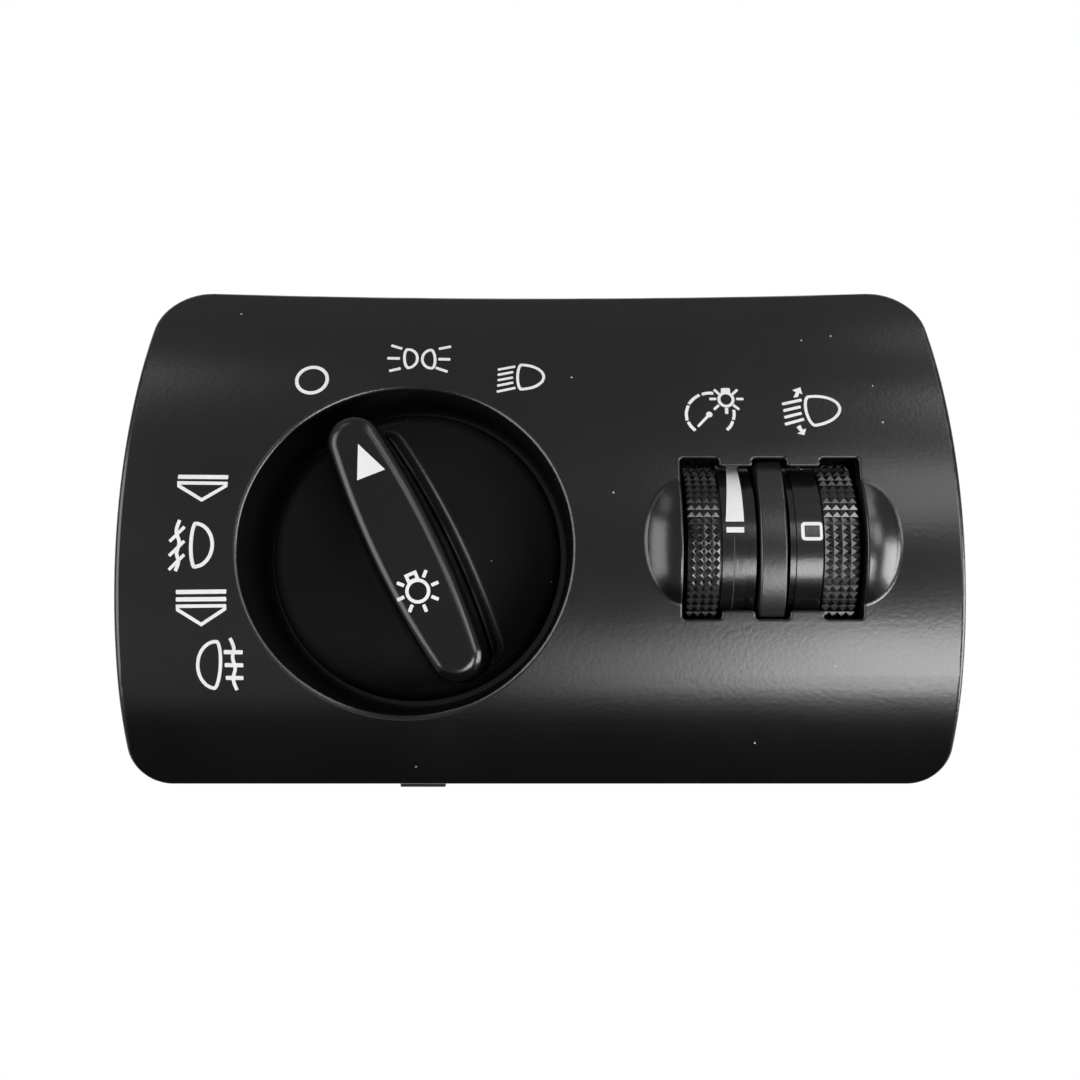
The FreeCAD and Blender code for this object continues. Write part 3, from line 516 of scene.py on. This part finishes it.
# A flat rectangle that faces the viewer, its long side turned by an angle
def strip(middle, length, width, turn):
    deselect()
    bpy.ops.mesh.primitive_plane_add(size=1.0, location=sheet_point(middle), rotation=(UPRIGHT, -turn, 0.0))
    piece = bpy.context.active_object
    piece.scale = (length * MM, width * MM, 1.0)
    settle()
    return piece


# A straight stroke between two points, with its corners rounded
def bar(start, end, width):
    middle = ((start[0] + end[0]) / 2, (start[1] + end[1]) / 2)
    turn = math.atan2(end[1] - start[1], end[0] - start[0])
    piece = strip(middle, math.dist(start, end), width, turn)
    edit_all(piece, "VERT")
    bpy.ops.mesh.bevel(offset=width * CORNER_SHARE * MM, segments=2, affect="VERTICES")
    leave()
    return piece


# Straight strokes of one width, each given by its two ends
def bars(width, *strokes):
    return [bar(start, end, width) for start, end in strokes]


# A filled oval
def oval(centre, half_x, half_z, corners=OVAL_CORNERS, turn=0.0):
    deselect()
    bpy.ops.mesh.primitive_circle_add(vertices=corners, radius=MM, fill_type="NGON",
                                      location=sheet_point(centre), rotation=(UPRIGHT, 0.0, 0.0))
    piece = bpy.context.active_object
    piece.scale = (half_x, half_z, 1.0)
    bpy.ops.object.transform_apply(location=False, rotation=True, scale=True)
    piece.rotation_euler = (0.0, math.radians(turn), 0.0)
    settle()
    return piece


# Leaves only a rim of the given width
def hollow_out(piece, width):
    edit_all(piece)
    bpy.ops.mesh.inset(thickness=width * MM, use_even_offset=True)
    bpy.ops.mesh.delete(type="FACE")
    leave()
    return piece


def ring(centre, half_x, half_z, width, turn=0.0):
    return hollow_out(oval(centre, half_x, half_z, turn=turn), width)


# A lamp outline: an oval with one side flattened, tilted and hollowed out. The round side reaches
# to the right, or to the left where the reach is below 0.
def lamp_outline(centre, reach, bulge, half, tilt, width):
    piece = oval(centre, abs(reach), half)
    side = math.copysign(1.0, reach)
    middle = sheet_point(centre)
    edit(piece, "VERT")
    pick(piece, lambda co: (co.x - middle.x) * side < -NEAR)
    bpy.ops.transform.resize(value=(bulge / abs(reach), 1.0, 1.0), center_override=middle)
    bpy.ops.mesh.select_all(action="SELECT")
    bpy.ops.transform.rotate(value=math.radians(tilt), orient_axis="Y", center_override=middle)
    leave()
    return hollow_out(piece, width)


# A filled shape with straight sides, given by its corners in order
def plate(corners):
    middle = (sum(p[0] for p in corners) / len(corners), sum(p[1] for p in corners) / len(corners))
    piece = oval(middle, 1.0, 1.0, corners=len(corners))
    edit(piece, "VERT")
    mesh = bmesh.from_edit_mesh(piece.data)
    mesh.faces.ensure_lookup_table()
    order = [vertex.index for vertex in mesh.faces[0].verts]
    for corner, index in zip(corners, order):
        bpy.ops.mesh.select_all(action="DESELECT")
        mesh = bmesh.from_edit_mesh(piece.data)
        mesh.verts.ensure_lookup_table()
        vertex = mesh.verts[index]
        vertex.select_set(True)
        shift = sheet_point(corner) - vertex.co
        bmesh.update_edit_mesh(piece.data)
        bpy.ops.transform.translate(value=(shift.x, 0.0, shift.z))
    bpy.ops.mesh.select_all(action="SELECT")
    bpy.ops.mesh.normals_make_consistent(inside=False)
    leave()
    return piece


def plate_outline(corners, width):
    return hollow_out(plate(corners), width)


# A stroke that runs through several points, made by extruding its end edge from point to point
def ribbon(points, width):
    heads = []
    for k in range(len(points)):
        before = points[max(k - 1, 0)]
        after = points[min(k + 1, len(points) - 1)]
        heads.append(math.atan2(after[1] - before[1], after[0] - before[0]))
    stub = 0.01
    piece = strip(points[0], stub, width, heads[0])
    edit(piece, "VERT")
    ahead = Vector((math.cos(heads[0]), 0.0, math.sin(heads[0])))
    pick(piece, lambda co: (co - sheet_point(points[0])).dot(ahead) > 0)
    for k in range(1, len(points)):
        here = sheet_point(points[k])
        step = here - sheet_point(points[k - 1])
        bpy.ops.mesh.extrude_region_move(TRANSFORM_OT_translate={"value": tuple(step)})
        bpy.ops.transform.rotate(value=heads[k] - heads[k - 1], orient_axis="Y", center_override=here)
    bpy.ops.mesh.select_all(action="SELECT")
    bpy.ops.mesh.normals_make_consistent(inside=False)
    leave()
    return piece


# Points of a smooth curve that runs through the given ones
def smooth_path(points, steps=4):
    path = []
    for k in range(len(points) - 1):
        a = points[max(k - 1, 0)]
        b = points[k]
        c = points[k + 1]
        d = points[min(k + 2, len(points) - 1)]
        for step in range(steps):
            t = step / steps
            path.append(tuple(
                0.5 * (2 * b[i] + (c[i] - a[i]) * t + (2 * a[i] - 5 * b[i] + 4 * c[i] - d[i]) * t ** 2
                       + (3 * b[i] - a[i] - 3 * c[i] + d[i]) * t ** 3) for i in range(2)))
    path.append(points[-1])
    return path


# Lays flat shapes on a part: turned to the viewer, cut fine enough to bend, dropped on and thickened
def print_layer(shapes, target, thickness, cuts=2):
    piece = unite(shapes)
    flip(piece, lambda face: face.normal.y > 0)
    edit_all(piece)
    bpy.ops.mesh.quads_convert_to_tris()
    bpy.ops.mesh.subdivide(number_cuts=cuts)
    leave()
    wrap = piece.modifiers.new("lay_on", "SHRINKWRAP")
    wrap.wrap_method = "PROJECT"
    wrap.use_project_y = True
    wrap.use_positive_direction = True
    wrap.use_negative_direction = False
    wrap.target = target
    wrap.offset = LIFT * MM
    bpy.ops.object.modifier_apply(modifier=wrap.name)
    thicken(piece, thickness)
    return piece


def finish_print(name, layers, body, material=WHITE_INK):
    piece = unite(layers)
    piece.name = name
    piece.data.name = name
    piece.data.materials.clear()
    piece.data.materials.append(material)
    bpy.ops.object.shade_smooth_by_angle(angle=math.radians(SMOOTH_ANGLE))
    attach(piece, body)


# A sign on the panel; the strokes that cross others are laid on as a second layer
def print_on_panel(name, shapes, crossing=()):
    panel = frame["nodes"]["face_panel"]
    layers = [print_layer(shapes, panel, INK)]
    if crossing:
        layers.append(print_layer(crossing, panel, CROSSING_INK))
    finish_print(name, layers, "housing")


# Signs round the knob. A stroke is two ends, each to the right and up, in millimetres.
def print_knob_signs():
    print_on_panel("print_off", [ring((-35.03, 22.69), half_x=2.6, half_z=2.46, width=0.53, turn=-8)])
    print_on_panel("print_side_lights", [
        lamp_outline((-20.53, 26.42), reach=1.71, bulge=0.73, half=1.86, tilt=6, width=0.43),
        lamp_outline((-16.83, 26.36), reach=-1.65, bulge=0.76, half=1.85, tilt=6, width=0.43),
        *bars(0.43, ((-23.26, 28.80), (-21.50, 28.20)), ((-23.28, 24.25), (-21.51, 24.70)),
              ((-15.80, 28.16), (-13.90, 28.60)), ((-16.10, 24.81), (-14.25, 24.11))),
        *bars(0.45, ((-23.71, 26.49), (-21.74, 26.45)), ((-15.79, 26.33), (-13.92, 26.29))),
    ])
    print_on_panel("print_low_beam", [
        lamp_outline((-2.95, 23.21), reach=3.74, bulge=0.71, half=2.30, tilt=0, width=0.43),
        *bars(0.38, ((-6.52, 24.46), (-3.82, 25.02)), ((-6.53, 23.55), (-4.12, 24.07)),
              ((-6.51, 22.64), (-4.14, 23.12)), ((-6.57, 21.70), (-4.10, 22.25)),
              ((-6.60, 20.69), (-3.75, 21.36))),
    ])


# Signs left of the knob: its first and second pull, each above the fog lamp that it turns on
def print_fog_signs():
    print_on_panel("print_pull_one", [
        bar((-53.89, 7.08), (-46.41, 7.02), width=0.63),
        plate_outline([(-53.96, 6.41), (-53.89, 5.52), (-50.15, 3.27), (-46.46, 5.52), (-46.44, 6.31)],
                      width=0.5),
    ])
    front_wave = [(-53.24, 0.53), (-53.68, -1.11), (-53.17, -2.82), (-53.52, -4.37), (-53.22, -5.7),
                  (-53.66, -7.02)]
    print_on_panel("print_front_fog", [
        lamp_outline((-50.95, -3.19), reach=2.92, bulge=0.77, half=3.48, tilt=0, width=0.54),
        *bars(0.48, ((-54.61, -2.67), (-52.47, -0.48)), ((-54.63, -4.79), (-52.44, -2.59)),
              ((-54.62, -6.85), (-52.38, -4.59))),
    ], crossing=[ribbon(smooth_path(front_wave), width=0.52)])
    print_on_panel("print_pull_two", [
        *bars(0.63, ((-53.54, -10.11), (-46.13, -10.03)), ((-53.54, -11.19), (-46.13, -11.13))),
        plate_outline([(-53.54, -11.94), (-53.54, -12.85), (-49.83, -15.15), (-46.13, -12.74),
                       (-46.13, -11.87)], width=0.5),
    ])
    rear_wave = [(-45.63, -16.85), (-45.10, -18.31), (-45.33, -19.7), (-45.0, -21.3), (-45.36, -22.9),
                 (-44.87, -24.51)]
    print_on_panel("print_rear_fog", [
        lamp_outline((-47.88, -20.81), reach=-2.88, bulge=0.97, half=3.70, tilt=-5, width=0.5),
        *bars(0.6, ((-46.61, -18.90), (-43.81, -18.93)), ((-46.52, -20.81), (-43.79, -20.84)),
              ((-46.45, -22.69), (-43.83, -22.72))),
    ], crossing=[ribbon(smooth_path(rear_wave), width=0.52)])


# Dash lighting: a dashed dial with its hand, and a bulb with rays on its upper right
def print_dimmer_sign():
    dashes = [
        [(24.71, 20.25), (25.48, 20.45), (26.47, 20.44)],
        [(22.63, 18.65), (23.41, 19.52), (24.32, 20.15)],
        [(22.24, 15.95), (22.18, 17.17), (22.54, 18.39)],
        [(22.41, 15.71), (22.76, 15.06), (23.41, 14.32)],
        [(29.41, 17.66), (29.41, 16.84), (29.24, 16.06)],
        [(29.13, 15.82), (28.80, 15.09), (28.19, 14.42)],
    ]
    print_on_panel("print_dimmer", [
        *[ribbon(smooth_path(dash), width=0.47) for dash in dashes],
        *bars(0.4, ((26.61, 21.06), (27.32, 20.28)), ((30.19, 21.06), (29.36, 20.25)),
              ((25.80, 19.48), (26.87, 19.48)), ((29.89, 19.48), (31.02, 19.48)),
              ((26.40, 17.73), (27.20, 18.45)), ((29.36, 18.49), (30.25, 17.73))),
        bar((28.33, 17.99), (28.30, 17.01), width=0.5),
        ring((28.33, 19.40), half_x=1.30, half_z=1.33, width=0.45),
        bar((23.83, 14.96), (25.45, 16.7), width=0.4),
    ], crossing=[
        bar((28.35, 20.36), (28.35, 21.30), width=1.42),
        oval((25.65, 16.91), half_x=0.48, half_z=0.46, corners=24),
    ])


# Beam height: a lamp with four rays, and an arrow head above and below them
def print_levelling_sign():
    print_on_panel("print_levelling", [
        lamp_outline((41.24, 17.50), reach=4.52, bulge=1.09, half=2.59, tilt=8, width=0.45),
        *bars(0.45, ((36.81, 18.62), (39.85, 19.32)), ((36.92, 17.53), (39.60, 18.19)),
              ((36.98, 16.44), (39.66, 17.14)), ((36.98, 15.32), (39.95, 16.16))),
        plate([(38.59, 20.96), (39.11, 20.62), (38.63, 19.72), (39.34, 19.82), (39.61, 20.45), (40.05, 20.28),
               (39.87, 21.45)]),
        plate([(38.67, 14.87), (39.22, 14.13), (38.71, 13.87), (39.78, 13.59), (40.13, 14.67), (39.63, 14.45),
               (39.30, 15.25)]),
    ])


# Signs on the grip: the pointer, and a lamp with its base on top and seven rays round the rest
def print_grip_signs():
    grip = frame["nodes"]["knob_grip"]
    pointer = print_layer([plate([(-26.92, 11.77), (-26.97, 6.34), (-22.87, 7.96)])], grip, INK)
    finish_print("grip_pointer", [pointer], "knob")
    centre = (-17.89, -10.0)
    lean = math.radians(SIGN_TURN)

    def at(x, z):
        return (centre[0] + x * math.cos(lean) + z * math.sin(lean),
                centre[1] - x * math.sin(lean) + z * math.cos(lean))

    shapes = [ring(centre, half_x=1.84, half_z=1.84, width=0.5)]
    ray_start, ray_end = 2.15, 3.3
    for eighth in range(1, 8):
        turn = math.radians(45 * eighth)
        x, z = math.sin(turn), math.cos(turn)
        shapes.append(bar(at(ray_start * x, ray_start * z), at(ray_end * x, ray_end * z), width=0.52))
    side, low, high = 0.95, 1.45, 2.95
    base = plate_outline([at(-side, high), at(-side, low), at(side, low), at(side, high)], width=0.5)
    layers = [print_layer(shapes, grip, INK), print_layer([base], grip, CROSSING_INK)]
    finish_print("grip_lamp_sign", layers, "knob")


print_knob_signs()
print_fog_signs()
print_dimmer_sign()
print_levelling_sign()
print_grip_signs()

# Print on the thumbwheels
WHEEL_AXIS = Vector((0.0, WHEEL_Y, WHEEL_Z)) * MM


# True where a face looks towards the wheel's axis
def looks_inwards(face):
    away = face.calc_center_median() - WHEEL_AXIS
    away.x = 0.0
    return face.normal.dot(away) < 0


# A strip on the dimmer's band from one angle to another, whose left side narrows to left_end
def wrapped_strip(name, left, right, left_end, low_angle, high_angle, thickness=INK, material=WHITE_INK):
    radius = (BAND_RADIUS + LIFT) * MM
    steps = max(2, int((high_angle - low_angle) / STRIP_STEP))
    turn = math.radians(high_angle - low_angle) / steps
    lean = math.radians(low_angle)
    start = WHEEL_AXIS + Vector((0.0, -radius * math.cos(lean), radius * math.sin(lean)))
    start.x = (left + right) / 2 * MM
    stub = 0.001
    deselect()
    bpy.ops.mesh.primitive_plane_add(size=1.0, location=start, rotation=(UPRIGHT - lean, 0.0, 0.0))
    piece = bpy.context.active_object
    piece.scale = ((right - left) * MM, stub * MM, 1.0)
    settle()
    edit(piece, "VERT")
    top = max(v.co.z for v in bmesh.from_edit_mesh(piece.data).verts)
    pick(piece, lambda co: co.z > top - 2 * NEAR)
    shrink = (right - left_end) / (right - left)
    for step in range(steps):
        bpy.ops.mesh.extrude_region_move()
        bpy.ops.transform.rotate(value=turn, orient_axis="X", center_override=WHEEL_AXIS)
        before = 1 + (shrink - 1) * step / steps
        after = 1 + (shrink - 1) * (step + 1) / steps
        bpy.ops.transform.resize(value=(after / before, 1.0, 1.0),
                                 center_override=(right * MM, WHEEL_AXIS.y, WHEEL_AXIS.z))
    leave()
    flip(piece, looks_inwards)
    thicken(piece, thickness)
    finish_print(name, [piece], "dimmer", material)


def print_dimmer_wheel():
    wrapped_strip("dimmer_wedge", left=27.29, right=29.98, left_end=29.88, low_angle=13.4, high_angle=120.0)
    wrapped_strip("dimmer_end_bar", left=27.35, right=29.95, left_end=27.35, low_angle=6.6, high_angle=9.9)
    wrapped_strip("dimmer_seam", left=28.44, right=28.56, left_end=28.44, low_angle=-75.0, high_angle=4.5,
                  thickness=0.01, material=SEAM_TONE)


# The 0: a rectangle with round corners, hollowed out
def zero(centre, width, height, corner, stroke):
    x, z = centre
    half_x, half_z = width / 2, height / 2
    piece = plate([(x - half_x, z + half_z), (x - half_x, z - half_z), (x + half_x, z - half_z),
                   (x + half_x, z + half_z)])
    edit_all(piece, "VERT")
    bpy.ops.mesh.bevel(offset=corner * MM, segments=4, affect="VERTICES")
    leave()
    return hollow_out(piece, stroke)


def figure(text, centre):
    deselect()
    bpy.ops.object.text_add(rotation=(UPRIGHT, 0.0, 0.0))
    piece = bpy.context.active_object
    piece.data.body = text
    piece.data.align_x = "CENTER"
    piece.data.align_y = "CENTER"
    piece.data.size = FIGURE_SIZE * MM
    piece.data.offset = FIGURE_WEIGHT * MM
    bpy.ops.object.convert(target="MESH")
    piece = bpy.context.active_object
    piece.location = sheet_point(centre)
    settle()
    return piece


# Figures 0 to 3 for the beam heights: each is laid on where the 0 stands, and 1 to 3 are then turned on
def print_levelling_wheel():
    wheel = frame["nodes"]["levelling_wheel"]
    centre = (FIGURE_X, WHEEL_Z + BAND_RADIUS * math.sin(math.radians(FIGURE_ANGLE)))
    for step in range(4):
        if step == 0:
            shape = zero(centre, width=3.25, height=2.75, corner=0.6, stroke=0.5)
        else:
            shape = figure(str(step), centre)
        piece = print_layer([shape], wheel, INK, cuts=3)
        if step > 0:
            edit_all(piece)
            bpy.ops.transform.rotate(value=math.radians(FIGURE_STEP * step), orient_axis="X",
                                     center_override=WHEEL_AXIS)
            leave()
        finish_print(f"levelling_figure_{step}", [piece], "levelling")


print_dimmer_wheel()
print_levelling_wheel()


# Floor that looks white to the camera and throws little light up at the object
def make_floor_finish():
    material = bpy.data.materials.new("studio_floor_white")
    material.use_nodes = True
    tree = material.node_tree
    tree.nodes.clear()
    matte = put(tree, "ShaderNodeBsdfDiffuse", 0, 100, {"Color": (FLOOR_TONE, FLOOR_TONE, FLOOR_TONE, 1.0)})
    glow = put(tree, "ShaderNodeEmission", 0, -100, {"Color": (1.0, 1.0, 1.0, 1.0), "Strength": FLOOR_GLOW})
    path = put(tree, "ShaderNodeLightPath", -500, 200)
    share = maths(tree, "MULTIPLY", path.outputs["Is Camera Ray"], FLOOR_SHARE, -250, 200)
    mix = put(tree, "ShaderNodeMixShader", 300, 0, {
        "Fac": share, 1: matte.outputs["BSDF"], 2: glow.outputs["Emission"]})
    put(tree, "ShaderNodeOutputMaterial", 600, 0, {"Surface": mix.outputs["Shader"]})
    return material


def make_stage():
    deselect()
    bpy.ops.mesh.primitive_plane_add(size=FLOOR_SIZE, location=(0.0, 0.0, FLOOR_HEIGHT))
    floor = bpy.context.active_object
    floor.name = "studio_floor"
    floor.data.materials.append(make_floor_finish())


# White behind the object and a dim room in front of it; the camera sees white all round
def make_world():
    world = bpy.data.worlds.new("studio_world")
    bpy.context.scene.world = world
    world.use_nodes = True
    tree = world.node_tree
    tree.nodes.clear()
    where = put(tree, "ShaderNodeTexCoord", -900, -100)
    split = put(tree, "ShaderNodeSeparateXYZ", -700, -100, {"Vector": where.outputs["Generated"]})
    behind = remap(tree, split.outputs["Y"], (BACK_STARTS, BACK_FULL), (ROOM_LIGHT, BACK_LIGHT), -500, -100)
    room = put(tree, "ShaderNodeBackground", 100, -100, {"Color": (1.0, 1.0, 1.0, 1.0), "Strength": behind})
    white = put(tree, "ShaderNodeBackground", 100, 100, {"Color": (1.0, 1.0, 1.0, 1.0), "Strength": 1.0})
    path = put(tree, "ShaderNodeLightPath", -500, 300)
    mix = put(tree, "ShaderNodeMixShader", 500, 0, {
        "Fac": path.outputs["Is Camera Ray"], 1: room.outputs["Background"], 2: white.outputs["Background"]})
    put(tree, "ShaderNodeOutputWorld", 900, 0, {"Surface": mix.outputs["Shader"]})


# A soft box that shines on the middle of the panel. The azimuth runs to the viewer's right and
# the elevation upwards, both from straight in front; the glow is its own brightness.
def soft_box(name, azimuth, elevation, width, height, glow):
    data = bpy.data.lights.new(name, "AREA")
    data.shape = "RECTANGLE"
    data.size = width
    data.size_y = height
    data.energy = math.pi * width * height * glow
    lamp = bpy.data.objects.new(name, data)
    bpy.context.scene.collection.objects.link(lamp)
    side = math.radians(azimuth)
    rise = math.radians(elevation)
    aim = Vector((math.sin(side) * math.cos(rise), -math.cos(side) * math.cos(rise), math.sin(rise)))
    lamp.location = LIT_SPOT + aim * BOX_DISTANCE
    lamp.rotation_euler = (-aim).to_track_quat("-Z", "Y").to_euler()
    lamp.visible_camera = False


def make_lights():
    soft_box("low_right_box", azimuth=19.0, elevation=-25.5, width=0.334, height=0.55, glow=6.56)
    soft_box("low_right_box_two", azimuth=33.0, elevation=-21.7, width=0.342, height=0.56, glow=8.4)
    soft_box("low_front_box", azimuth=6.0, elevation=-29.0, width=0.27, height=0.47, glow=1.28)
    soft_box("far_right_box", azimuth=78.0, elevation=-10.0, width=0.9, height=0.80, glow=6.4)
    soft_box("mid_right_box", azimuth=46.0, elevation=13.0, width=0.42, height=0.5, glow=3.36)
    soft_box("high_right_box", azimuth=25.0, elevation=21.0, width=0.54, height=0.475, glow=1.92)
    soft_box("upper_right_box", azimuth=42.0, elevation=40.0, width=0.486, height=0.53, glow=2.08)
    soft_box("top_right_box", azimuth=63.0, elevation=56.0, width=0.382, height=0.53, glow=1.2)
    soft_box("upper_left_box", azimuth=-47.0, elevation=48.0, width=0.53, height=0.53, glow=0.8)
    soft_box("left_box", azimuth=-54.0, elevation=0.0, width=0.9, height=1.6, glow=2.72)


make_stage()
make_world()
make_lights()

bpy.context.scene.view_settings.view_transform = "Standard"
